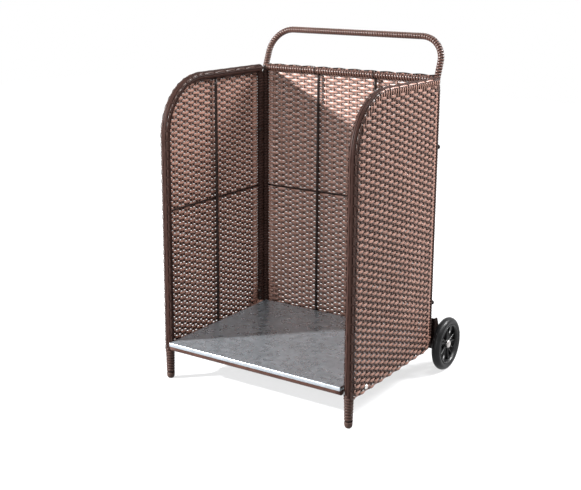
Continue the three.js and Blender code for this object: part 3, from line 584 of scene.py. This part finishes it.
def side_stakes(name, side):
    """Upright strands of a side wall, from under the bottom rail to over the top one.

    Between two of them a short loop comes out of the weave and goes over the top rail.
    """
    low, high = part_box(f"side_weave_{name}")
    middle_x = abs(low.x + high.x) / 2
    reach = middle_x - hoop_x
    over, over_rail = 0.0122, np.radians(np.arange(0, 17, 8))  # the loop's radius and its turn
    spacing = side_depth / SIDE_STAKES
    strands = []
    for half in range(2, 2 * SIDE_STAKES):
        y = half * spacing / 2
        run = max(0.0, OPEN_CORNER - y)
        lean = math.asin(run / OPEN_CORNER)
        rail = top_z - OPEN_CORNER + OPEN_CORNER * math.cos(lean)
        up = np.array((0.0, -math.sin(lean), math.cos(lean)))
        along = np.cross(RIGHT, up)
        if half % 2:
            below = np.empty((0, 3))
            wall_heights = np.linspace(rail - 0.026, rail - 0.014, WALL_POINTS)
        else:
            below = curl(UNDER_RAIL, reach, RIGHT, -UP) + (hoop_x, leg_y + y, bottom_z)
            if y > side_depth - HOOP_BEND:
                below = below[-1:]
            wall_heights = np.linspace(bottom_z, rail - 0.02, WALL_POINTS)
        wall = np.array([(middle_x, leg_y + y, z) for z in wall_heights])
        above = curl(over_rail, over, RIGHT, up) + (hoop_x, leg_y + y, rail)
        points = np.vstack((below, wall, above))
        across = np.tile(BACK, (len(points), 1))
        across[-len(above):] = -along if along[1] < 0 else along
        thickness = np.full(len(points), STAKE[1])
        thickness[-len(above):] = STRAND
        rings = strand_rings_along(points, unit(across), RIGHT, STAKE[0], thickness)
        rings[..., 0] *= side
        strands.append(rings)
    return strands


def back_rows():
    """Woven rows of the back wall, each tucked into the windings of both back uprights."""
    low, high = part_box("back_weave")
    middle_y = (low.y + high.y) / 2
    spacing = 2 * back_x / BACK_STAKES
    end = back_x - 0.003  # short of the uprights' middles
    strands = []
    for j, z in enumerate(row_heights(low.z, high.z)):
        place = stations(-back_x, back_x, spacing).clip(-end, end)
        phase = math.pi * (place + back_x) / spacing + math.pi * j
        near = smooth_step(1 - (end - np.abs(place)) / spacing)
        depth = SWING * np.cos(phase) * (1 - near) + near * (back_y + BACK_TUBE - middle_y)
        points = np.stack((place, middle_y + depth, np.full(len(place), z)), axis=1)
        width = float_width(place + back_x, spacing) * (1 - near) + near * TUCKED * ROW_PITCH
        strands.append(strand_rings_along(points, UP, BACK, width, ROW_THICKNESS, OVAL))
    return strands


def back_stakes():
    """Upright strands of the back wall, looped over the top rail and under the bottom one."""
    low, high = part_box("back_weave")
    middle_y = (low.y + high.y) / 2
    reach = middle_y - back_y
    over_rail = np.radians(np.arange(15, 111, 15))
    spacing = 2 * back_x / BACK_STAKES
    strands = []
    for k in range(1, BACK_STAKES):
        x = -back_x + k * spacing
        below = curl(UNDER_RAIL, reach, BACK, -UP) + (x, back_y, bottom_z)
        wall = np.array([(x, middle_y, z) for z in np.linspace(bottom_z, rail_z, WALL_POINTS)])
        above = curl(over_rail, reach, BACK, UP) + (x, back_y, rail_z)
        points = np.vstack((below, wall, above))
        thickness = np.full(len(points), STAKE[1])
        thickness[-len(above):] = STRAND
        strands.append(strand_rings_along(points, RIGHT, BACK, STAKE[0], thickness))
    return strands


def add_walls():
    for name, side in SIDES:
        for kind, strands in (("rows", side_rows(name, side)), ("stakes", side_stakes(name, side))):
            mesh_piece(f"side_{kind}_{name}", strands, side_strand,
                       replaced=(f"side_weave_{name}",))
    rows = back_rows()
    half = len(rows) // 2
    for kind, strands in (("rows_lower", rows[:half]), ("rows_upper", rows[half:]),
                          ("stakes", back_stakes())):
        mesh_piece(f"back_{kind}", strands, back_strand, replaced=("back_weave",))


# ---- Bindings and windings ----


def add_front_binding(name, side):
    """Flat strips along the tube, and edge strands that bulge between the strands across them."""
    x = side * hoop_x
    start_z, end_y = 0.066, rear_y + 0.004
    corners = ((x, leg_y, start_z), (x, leg_y, top_z, OPEN_CORNER), (x, end_y, top_z))
    route = bent_route(corners, 0.004)
    tangents = frames(route)[0]
    outer = np.broadcast_to(float(side) * RIGHT, route.shape)
    convex = np.cross(outer, tangents) * side
    convex *= np.sign(-convex[0, 1])
    along = lengths_along(route)
    rounded = 0.009  # length of the binding's rounded rear end
    closing = np.sqrt(1 - np.clip(1 - (along[-1] - along) / rounded, 0, 0.97) ** 2)

    def strip(angle, lift, width):
        out = convex * math.cos(angle) + outer * math.sin(angle)
        middle_line = route + out * (lift * closing)[:, None]
        return rings_of(middle_line, np.cross(tangents, out), out, width, STRAND)

    wave = math.pi * along / LASH_PITCH
    strips = [strip(2 * math.pi * (k + 0.5) / BINDING_STRIPS,
                    0.0108 + 0.0003 * np.cos(wave + math.pi * k), 0.0086 * closing)
              for k in range(BINDING_STRIPS)]
    mesh_piece(f"front_strips_{name}", strips, binding,
               replaced=(f"front_binding_{name}",))
    straight_from = along[-1] - (end_y - leg_y - OPEN_CORNER)
    spacing = side_depth / SIDE_STAKES
    pins = list(np.arange(0.012, straight_from, LASH_PITCH))
    pins += list(np.arange(pins[-1] + spacing, along[-1], 2 * spacing))
    bulge = np.abs(np.sin(math.pi * np.interp(along, pins, np.arange(len(pins)))))
    bay_side, outside = (strip(angle, 0.0103 + 0.0032 * bulge, 0.0046)
                         for angle in np.radians((-EDGE_ANGLE, EDGE_ANGLE)))
    split = int(np.searchsorted(along, straight_from - 0.04))
    edge = mesh_piece(f"front_edging_{name}", [bay_side, outside[:split + 1]], edging)
    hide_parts(f"front_binding_{name}")
    # The outer edge strand along the top gets the lighter strand colour as painted light where the
    # lamps fall on it; the rest of the edging stays dark.
    edge = mesh_piece(f"top_edging_painted_lit_{name}", [outside[split:]], strand)
    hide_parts(f"front_binding_{name}")
    angles = circle(48)
    at_edge = np.exp(-((np.abs(angles - math.pi) - math.radians(180 - EDGE_ANGLE)) / 0.35) ** 2)
    reach = 0.0104 + 0.0023 * at_edge
    lashes = []
    for place in pins:
        centre, tangent, front, wide = (
            read_off(place, along, values) for values in (route, tangents, convex, outer)
        )
        out = np.cos(angles)[:, None] * front + np.sin(angles)[:, None] * wide
        lashes.append(rings_of(centre + out * reach[:, None], tangent, out, 0.0040, STRAND))
    lash = mesh_piece(f"front_lashing_{name}", lashes, binding, closed=True)
    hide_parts(f"front_binding_{name}")


def add_leg_winding(name, side):
    """Winding that widens upwards and goes on under the front binding's end."""
    low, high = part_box(f"leg_wrap_{name}")
    x = side * hoop_x
    top = high.z + 0.010
    route = straight((x, leg_y, low.z + LEG_PITCH / 2), (x, leg_y, top), 0.003)
    rings = wound_strand(route, lambda s: 0.0097 + 0.0012 * s / (top - low.z), LEG_PITCH,
                         width=0.0074, thickness=0.0034, section=OVAL)
    mesh_piece(f"leg_strand_{name}", [rings], edging,
               replaced=(f"leg_wrap_{name}",))


def add_frame_windings(name, side):
    """Strand wound round the bottom rail of a side frame, and strand up both rear uprights, dark
    with painted shade of the rear corners.
    """
    x, overlap = side * hoop_x, 0.004
    bottom = bent_route(((x, leg_y + 0.012, bottom_z), (x, rear_y, bottom_z, HOOP_BEND),
                         (x, rear_y, bottom_z + HOOP_BEND)), 0.002)
    rail = wound_strand(bottom, TUBE + 0.0005, LOW_RAIL_PITCH,
                        width=0.0076, thickness=0.0024, section=OVAL)
    mesh_piece(f"side_rail_strand_{name}", [rail], strand)
    post = bent_route(((x, rear_y, bottom_z + HOOP_BEND - overlap), (x, rear_y, top_z, HOOP_BEND),
                       (x, rear_y - HOOP_BEND - overlap, top_z)), 0.002)
    x = side * back_x
    line = straight((x, back_y, 0.079), (x, back_y, rail_z - 0.01), 0.003)
    for part, route, radius in (("side", post, TUBE + 0.0005), ("back", line, BACK_TUBE + 0.0003)):
        upright = wound_strand(route, radius, POST_PITCH, width=0.0078, thickness=0.0026,
                               section=OVAL)
        # The uprights' strand takes the dark binding colour as painted shade of the rear corners.
        mesh_piece(f"{part}_post_strand_{name}", [upright], binding)


def add_handle_winding():
    tail = rail_z - 0.008
    corners = ((-back_x, back_y, tail), (-back_x, back_y, rail_z, KNEE_BEND),
               (-back_x, grip_y, grip_z, HANDLE_BEND), (back_x, grip_y, grip_z, HANDLE_BEND),
               (back_x, back_y, rail_z, KNEE_BEND), (back_x, back_y, tail))
    rings = wound_strand(bent_route(corners, 0.002), BACK_TUBE + 0.00025, HANDLE_PITCH,
                         width=0.0075, thickness=0.00229, steps=16)
    mesh_piece("handle_strand", [rings], wrap, replaced=("handle_wrap",))


def add_back_rail_windings():
    end = back_x - BACK_TUBE - 0.0005
    strands = []
    for z, pitch in ((rail_z, RAIL_PITCH), (bottom_z, LOW_RAIL_PITCH)):
        line = straight((-end, back_y, z), (end, back_y, z), 0.003)
        strands.append(wound_strand(line, BACK_TUBE + 0.0007, pitch,
                                    width=pitch * 0.97, thickness=0.0023))
    mesh_piece("back_rail_strand", strands, wrap, replaced=("rail_wrap",))


def add_rail_edge():
    """The strands that run along behind the top rail, bulging between every second stake's loop."""
    spacing, margin = 2 * back_x / BACK_STAKES, 0.006
    place = np.arange(-back_x + margin, back_x - margin, spacing / 10)
    lift = 0.0102 + 0.0022 * np.abs(np.cos(math.pi * (place + back_x) / (2 * spacing)))
    strands = []
    for angle in (math.radians(38), math.radians(66)):
        out = np.array((0, math.cos(angle), math.sin(angle)))
        points = np.array([(x, back_y, rail_z) for x in place]) + out * lift[:, None]
        strands.append(strand_rings_along(points, np.cross(out, RIGHT), out, width=0.0062))
    mesh_piece("rail_edge_strand", strands, wrap)


def add_ties():
    """Cord ties round the top rail."""
    angles, radius = circle(32), 0.0103
    out = np.stack((np.zeros(len(angles)), np.cos(angles), np.sin(angles)), axis=1)
    rings = [
        rings_of(np.array((x, back_y, rail_z)) + out * radius, RIGHT, out, width=0.0032,
                 thickness=0.0014)
        for x in TIES
    ]
    mesh_piece("rail_ties", rings, paint, closed=True)


# ---- Metalwork ----


def add_rods():
    for node_name, radius, direction in (
        ("side_rod_left", ROD, 2), ("side_rod_right", ROD, 2),
        ("back_rod_left", ROD, 2), ("back_rod_right", ROD, 2),
        ("side_cross_rod_left", CROSS_ROD, 1), ("side_cross_rod_right", CROSS_ROD, 1),
        ("back_cross_rod", CROSS_ROD, 0),
    ):
        low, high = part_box(node_name)
        start, end = (low + high) / 2, (low + high) / 2
        start[direction], end[direction] = low[direction], high[direction]
        mesh_piece(f"{node_name}_bar", [tube_rings(straight(start, end, 0.02), radius)], paint,
                   replaced=(node_name,))


def add_ring():
    """Four straight tubes welded into a rectangle. The cross bars run through to cut ends."""
    low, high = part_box("base_ring")
    x, z = high.x - RING_TUBE, (low.z + high.z) / 2
    front, rear = low.y + RING_TUBE, high.y - RING_TUBE
    bars = [((low.x, y, z), (high.x, y, z)) for y in (front, rear)]
    bars += [((side * x, front, z), (side * x, rear, z)) for _, side in SIDES]
    tubes = [tube_rings(straight(*bar, 0.02), RING_TUBE, ellipse_section(28)) for bar in bars]
    mesh_piece("ring_tubes", tubes, ring_paint, replaced=("base_ring",))


def add_tray():
    """Sheet with its rim folded down, as loops from the underside round to the top."""
    corner, sheet, fold = 0.002, 0.0012, 0.0022
    top, bottom, lip = tray_high.z, tray_low.z, tray_low.z + 0.0004
    levels = [(sheet, top - sheet), (sheet, lip), (sheet * 0.5, bottom), (0.0, lip)]
    levels += [(fold * (1 - math.cos(a)), top - fold * (1 - math.sin(a)))
               for a in np.radians((0, 18, 36, 54, 72, 90))]
    levels += [(inset, top) for inset in (0.012, 0.06, 0.12, 0.18)]
    loops = []
    for inset, z in levels:
        radius = max(corner - inset, 0.0003)  # a sharp corner still has all its points
        x, front, rear = tray_high.x - inset, tray_low.y + inset, tray_high.y - inset
        points = []
        for cx, cy, start in ((x, front, -90), (x, rear, 0), (-x, rear, 90), (-x, front, 180)):
            cx -= math.copysign(radius, cx)
            cy += radius if cy == front else -radius
            for angle in np.radians(start + np.arange(0, 91, 9)):
                points.append((cx + radius * math.cos(angle), cy + radius * math.sin(angle), z))
        loops.append(points)
    mesh_piece("tray_sheet", [np.array(loops)], galvanised,
               replaced=("floor_tray",))


def bolt_rings(seat, direction, grip):
    """Round washer head, shank and nut: a profile of (radius, place) round the bolt's own axis."""
    head, shank, nut = 0.0065, 0.0025, 0.0056
    nut_end = grip + NUT_HEIGHT
    profile = [(0.0002, -HEAD_HEIGHT), (head * 0.45, -0.0035), (head * 0.7, -0.0030),
               (head * 0.86, -0.0019), (head * 0.9, -0.0009), (head, -0.0008), (head, -0.0001),
               (head * 0.9, 0.0), (shank, 0.0), (shank, grip), (nut, grip), (nut, grip + 0.0046),
               (nut * 0.8, nut_end), (shank, nut_end), (shank, grip + 0.0062),
               (0.0002, grip + 0.0066)]
    angles = circle(24)
    direction = unit(direction)
    side = unit(np.cross(direction, UP))
    up = np.cross(side, direction)
    radial = np.cos(angles)[:, None] * side + np.sin(angles)[:, None] * up
    return np.stack([seat + direction * along + radial * radius for radius, along in profile])


def add_bolts():
    """Bolts with their heads outside: along X where the box is long that way, and else along Y."""
    for name in [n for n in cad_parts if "_bolt_" in n]:
        low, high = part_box(name)
        centre = (low + high) / 2
        if high.x - low.x > 0.03:
            side = math.copysign(1, centre.x)
            outer, inner = (high.x, low.x) if side > 0 else (low.x, high.x)
            seat = np.array((outer - side * HEAD_HEIGHT, centre.y, centre.z))
            direction = (-side, 0, 0)
            grip = abs(seat[0] - inner) - NUT_HEIGHT
        else:
            seat = np.array((centre.x, high.y - HEAD_HEIGHT, centre.z))
            direction = (0, -1, 0)
            grip = seat[1] - low.y - NUT_HEIGHT
        bright = name.startswith("floor_bolt_front")
        mesh_piece(f"{name}_full", [bolt_rings(seat, direction, grip)], zinc if bright else paint,
                   replaced=(name,))


def add_feet():
    """Domed caps, hollow above the leg's end: a profile of (radius, height)."""
    profile = [(0.0004, 0.0), (0.0040, 0.0), (0.0062, 0.0008), (0.0082, 0.0024), (0.0096, 0.0046),
               (0.0105, 0.0074), (0.0109, 0.0105), (0.0110, 0.0150), (0.0104, 0.0170),
               (0.0084, 0.0170), (0.0084, 0.0075), (0.0004, 0.0075)]
    angles = circle(32)
    radial = np.stack((np.cos(angles), np.sin(angles), np.zeros(len(angles))), axis=1)
    for name, side in SIDES:
        rings = np.stack([np.array((side * hoop_x, leg_y, z)) + radial * r for r, z in profile])
        mesh_piece(f"foot_{name}", [rings], foot_plastic,
                   replaced=(f"foot_cap_{name}",))


def add_axle_and_spacers():
    low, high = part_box("axle")
    line = straight((low.x, axle.y, axle.z), (high.x, axle.y, axle.z), 0.05)
    mesh_piece("axle_bar", [tube_rings(line, AXLE)], zinc, replaced=("axle",))
    outer, chamfer = 0.009, 0.0008
    for name in [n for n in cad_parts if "spacer" in n]:
        low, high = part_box(name)
        bore = 0.0063 if name.startswith("axle") else 0.0028
        profile = [(bore, low.x), (outer - chamfer, low.x), (outer, low.x + chamfer),
                   (outer, high.x - chamfer), (outer - chamfer, high.x), (bore, high.x)]
        centre = (0, (low.y + high.y) / 2, (low.z + high.z) / 2)
        mesh_piece(f"{name}_bush", [turned_rings(profile, centre, 32)], plastic,
                   replaced=(name,), closed=True)


def dress_carried_nodes():
    """CAD nodes that stay: hidden tubes, rails, bearers and brackets get their paint."""
    for name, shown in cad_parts.items():
        if shown.hide_render:
            continue
        material = ring_paint if name.startswith("tray_bearer") else paint
        shown.data.materials.clear()
        shown.data.materials.append(material)
        if name.startswith(("axle_bracket", "tray_bearer")):
            bevel = shown.modifiers.new("edges", "BEVEL")
            bevel.width = 0.0006
            bevel.segments = 2


# ---- Wheels ----
# Profiles of (radius, x), x from the wheel's middle and, where the two faces differ, outwards


def tyre_profile():
    half, crown = 0.0125, 0.0131
    edge = math.asin(half / crown)
    profile = [(wheel_radius - crown * (1 - math.cos(a)), crown * math.sin(a))
               for a in np.linspace(-edge, edge, 17)]
    bead = [(0.0618, 0.0124), (0.0578, 0.0112), (0.0556, 0.0102), (0.0553, 0.0096), (0.0553, 0.0)]
    return profile + bead + [(r, -x) for r, x in reversed(bead[:-1])]


def rim_profile():
    half = [(0.0549, 0.0094), (0.0556, 0.0112), (0.0549, 0.012), (0.0536, 0.0118),
            (0.0524, 0.0102), (0.0514, 0.0086), (0.0504, 0.006), (0.0499, 0.002)]
    return half + [(r, -x) for r, x in reversed(half)]


def spoke_rings(centre, base, hand, side):
    """One of a pair of bowed spokes, from the hub to the rim."""
    t = np.linspace(0, 1, 13)
    hub, rim, set_in, depth = 0.0105, 0.0512, 0.00225, 0.0134
    radius = hub + t * (rim - hub)
    spread = math.radians(4.5) + math.radians(8.5) * t**0.8
    angle = base + hand * spread * (1.25 - 0.25 * t)
    out = np.stack((np.zeros_like(t), np.cos(angle), np.sin(angle)), axis=1)
    points = centre + out * radius[:, None]
    points[:, 0] -= side * set_in
    across = unit(np.cross(unit(np.gradient(points, axis=0)), RIGHT))
    width = 0.0046 + 0.0016 * (2 * t - 1) ** 4
    half = np.array(((-0.5, -0.32), (-0.5, 0.32), (-0.32, 0.46), (0, 0.5), (0.32, 0.46)))
    return rings_of(points, across, RIGHT, width, depth, np.vstack((half, -half)))


def add_wheel(name, side):
    centre = np.array((side * wheel_x, axle.y, axle.z))
    body = f"wheel_{name}"
    mesh_piece(f"tyre_{name}_rubber", [turned_rings(tyre_profile(), centre, 96)], rubber, body,
               (f"tyre_{name}",), closed=True)
    mesh_piece(f"rim_{name}_ring", [turned_rings(rim_profile(), centre, 96)], plastic, body,
               (f"rim_{name}",), closed=True)
    hub = [(0.0062, -0.012), (0.0088, -0.012), (0.0098, -0.0112), (0.0104, -0.006),
           (0.0122, -0.004), (0.0124, 0.003), (0.0118, 0.0044), (0.0104, 0.005), (0.0062, 0.005)]
    hub = [(r, side * x) for r, x in hub]
    mesh_piece(f"hub_{name}", [turned_rings(hub, centre, 48)], plastic, body,
               closed=True)
    spokes = [spoke_rings(centre, math.radians(angle), hand, side)
              for angle in range(9, 360, 72) for hand in (-1, 1)]
    mesh_piece(f"spokes_{name}", spokes, plastic, body)
    start = abs(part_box(f"hub_cap_{name}")[0 if side > 0 else 1].x) - wheel_x
    cap = [(0.0063, start), (0.0108, start), (0.011, start + 0.0004), (0.011, start + 0.0028),
           (0.0104, start + 0.0042), (0.009, start + 0.0054), (0.0072, start + 0.0058),
           (0.0062, start + 0.0052), (0.0054, start + 0.0042), (0.003, start + 0.0046),
           (0.0003, start + 0.0048), (0.0003, start + 0.004), (0.0063, start + 0.004)]
    cap = [(r, side * x) for r, x in cap]
    mesh_piece(f"hub_cap_{name}_bright", [turned_rings(cap, centre, 48)], chrome, "frame",
               (f"hub_cap_{name}",), closed=True)


# ---- Stage ----

PHOTO_WIDTH = 581  # pixels
FOCAL_LENGTH = 1042.3  # pixels of the photo, like the shift
SHIFT = (-11.38, -40.01)
YAW, PITCH, ROLL = 0.577, 0.2298, 0.0083
CAMERA_PLACE = (1.48766, leg_y - 2.06679, 1.12455)


def add_camera():
    """The camera that was fitted to the photo."""
    data = bpy.data.cameras.new("camera")
    camera = bpy.data.objects.new("camera", data)
    bpy.context.scene.collection.objects.link(camera)
    data.sensor_fit = "HORIZONTAL"
    data.sensor_width = 36
    data.lens = FOCAL_LENGTH / PHOTO_WIDTH * data.sensor_width
    data.shift_x, data.shift_y = (pixels / PHOTO_WIDTH for pixels in SHIFT)
    level = math.cos(PITCH)
    ahead = Vector((-math.sin(YAW) * level, math.cos(YAW) * level, -math.sin(PITCH)))
    right = Vector((math.cos(YAW), math.sin(YAW), 0))
    up = right.cross(ahead)
    rolled_right = right * math.cos(ROLL) + up * math.sin(ROLL)
    rolled_up = up * math.cos(ROLL) - right * math.sin(ROLL)
    basis = Matrix((rolled_right, rolled_up, -ahead)).transposed().to_4x4()
    basis.translation = CAMERA_PLACE
    camera.matrix_world = basis
    bpy.context.scene.camera = camera


def area_light(name, place, target, size, power):
    data = bpy.data.lights.new(name, "AREA")
    data.shape = "RECTANGLE"
    data.size, data.size_y = size
    data.energy = power
    light = bpy.data.objects.new(name, data)
    bpy.context.scene.collection.objects.link(light)
    light.location = place
    light.rotation_euler = (Vector(target) - Vector(place)).to_track_quat("-Z", "Y").to_euler()


def backdrop_rays(tree):
    """1 for the rays that show the pale backdrop: from the camera, or by way of metal or glass."""
    path = node(tree, "ShaderNodeLightPath")
    seen = path.outputs["Is Camera Ray"]
    for kind in ("Is Glossy Ray", "Is Transmission Ray"):
        seen = calc(tree, "MAXIMUM", seen, path.outputs[kind])
    return seen


def add_backdrop():
    bpy.context.scene.view_settings.view_transform = "Standard"
    world = bpy.data.worlds.new("studio")
    bpy.context.scene.world = world
    world.use_nodes = True
    tree = world.node_tree
    background = tree.nodes["Background"]
    background.inputs["Color"].default_value = (1, 1, 1, 1)
    strength = node(tree, "ShaderNodeMix", A=0.08, B=1.0)
    tree.links.new(backdrop_rays(tree), strength.inputs["Factor"])
    tree.links.new(strength.outputs["Result"], background.inputs["Strength"])


def add_floor():
    """A floor that is seen as a pale disc with a soft shadow, and lights the part as a grey one."""
    bpy.ops.mesh.primitive_plane_add(size=12, location=(0, 0, 0))
    floor = bpy.context.object
    floor.name = "floor"
    material = bpy.data.materials.new("floor")
    material.use_nodes = True
    tree = material.node_tree
    tree.nodes.clear()
    output = node(tree, "ShaderNodeOutputMaterial")
    diffuse = node(tree, "ShaderNodeBsdfDiffuse", Color=(0.2, 0.2, 0.205, 1))
    glow = node(tree, "ShaderNodeEmission", Color=(1, 1, 1, 1))
    spot = node(tree, "ShaderNodeTexCoord").outputs["Object"]
    away = node(tree, "ShaderNodeVectorMath", operation="LENGTH")
    tree.links.new(spot, away.inputs[0])
    fade = map_range(tree, away.outputs["Value"], 0.5, 1.8, 0.72, 1.0, "SMOOTHSTEP")
    tree.links.new(fade, glow.inputs["Strength"])
    seen = node(tree, "ShaderNodeAddShader")
    tree.links.new(diffuse.outputs[0], seen.inputs[0])
    tree.links.new(glow.outputs[0], seen.inputs[1])
    bounce = node(tree, "ShaderNodeBsdfDiffuse", Color=(0.45, 0.45, 0.45, 1))
    choice = node(tree, "ShaderNodeMixShader")
    tree.links.new(backdrop_rays(tree), choice.inputs["Fac"])
    tree.links.new(bounce.outputs[0], choice.inputs[1])
    tree.links.new(seen.outputs[0], choice.inputs[2])
    tree.links.new(choice.outputs[0], output.inputs["Surface"])
    floor.data.materials.append(material)
    floor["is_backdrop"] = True


def add_lights():
    """The sun-like key from the front left, a strip that draws the right wall, and two fills."""
    area_light("key", (-2.2, -2.2, 1.85), (0, 0, 0.6), (0.15, 0.15), 540)
    area_light("right_rear", (1.4, 1.3, 1.9), (0.3, 0, 0.75), (0.4, 0.9), 150)
    area_light("front_fill", (0.3, -3.2, 1.2), (0, 0, 0.45), (1.6, 1.6), 80)
    area_light("top", (1.1, 0.1, 2.5), (0, 0, 0.45), (1.0, 1.0), 56)


add_camera()
add_walls()
for side_name, hand in SIDES:
    add_front_binding(side_name, hand)
    add_leg_winding(side_name, hand)
    add_frame_windings(side_name, hand)
    add_wheel(side_name, hand)
add_handle_winding()
add_back_rail_windings()
add_rail_edge()
add_ties()
add_rods()
add_ring()
add_tray()
add_bolts()
add_feet()
add_axle_and_spacers()
dress_carried_nodes()
add_backdrop()
add_floor()
add_lights()

boxes = {"cad": cad_box, "visual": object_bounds()}
{key: [list(corner) for corner in box] for key, box in boxes.items()}
